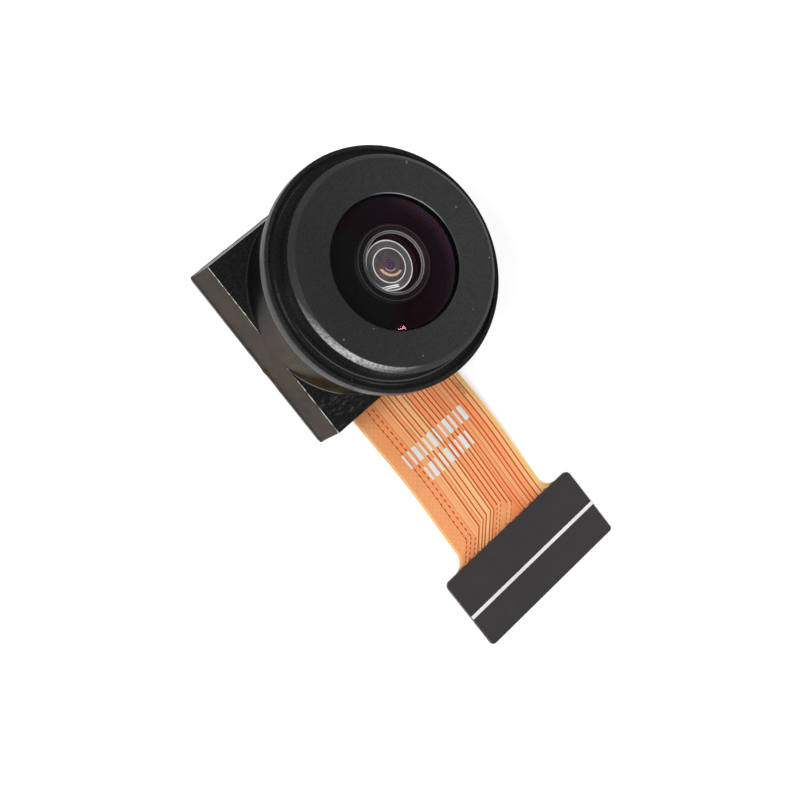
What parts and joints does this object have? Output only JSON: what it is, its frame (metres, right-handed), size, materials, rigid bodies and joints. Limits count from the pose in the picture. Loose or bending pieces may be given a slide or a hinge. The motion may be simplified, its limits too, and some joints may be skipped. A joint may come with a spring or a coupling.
{
  "type": "camera module",
  "caption": "Wide-angle camera module: a lens in a square holder on a flexible circuit that ends in a stiffened contact tail.",
  "frame": {"origin": "on the lens axis at the underside of the plate behind the head", "axes": "+Z along the lens axis towards the scene, -Y along the flexible circuit to its contact tail, X across the circuit"},
  "size_m": [0.016, 0.033, 0.012],
  "materials": {
    "steel_plate": "satin",
    "tape": "matte",
    "amber_film": "satin",
    "amber_coverlay": "satin",
    "copper": "satin",
    "gold": "bright",
    "tail_board": "matte",
    "white_ink": "matte",
    "solder": "satin",
    "silicon": "gloss",
    "ceramic": "satin",
    "clear_glue": "gloss",
    "black_plastic": "satin",
    "black_metal": "matte",
    "filter_glass": "gloss",
    "lens_glass": "gloss",
    "rubber_seal": "matte"
  },
  "bodies": {
    "root": {"back_plate": "steel_plate", "stiffener_tape": "tape", "flex_base_film": "amber_film", "copper_traces": "copper", "coverlay": "amber_coverlay", "contact_fingers": "gold", "tail_stiffener": "tail_board", "insertion_line": "white_ink", "ink_marks": "white_ink", "solder_balls": "solder", "image_sensor": "silicon", "sensor_glass_dam": "black_plastic", "sensor_cover_glass": "filter_glass", "ceramic_capacitors": "ceramic", "holder_adhesive": "clear_glue", "lens_holder": "black_plastic", "ir_cut_filter": "filter_glass", "filter_adhesive": "clear_glue", "thread_glue": "clear_glue", "lens_barrel": "black_metal", "rear_pair_back": "lens_glass", "rear_pair_front": "lens_glass", "aperture_stop": "black_metal", "stop_spacer": "black_metal", "third_element": "lens_glass", "middle_spacer": "black_metal", "second_element": "lens_glass", "front_baffle": "black_metal", "front_element": "lens_glass", "front_seal": "rubber_seal", "front_ring": "black_metal"}
  },
  "joints": []
}
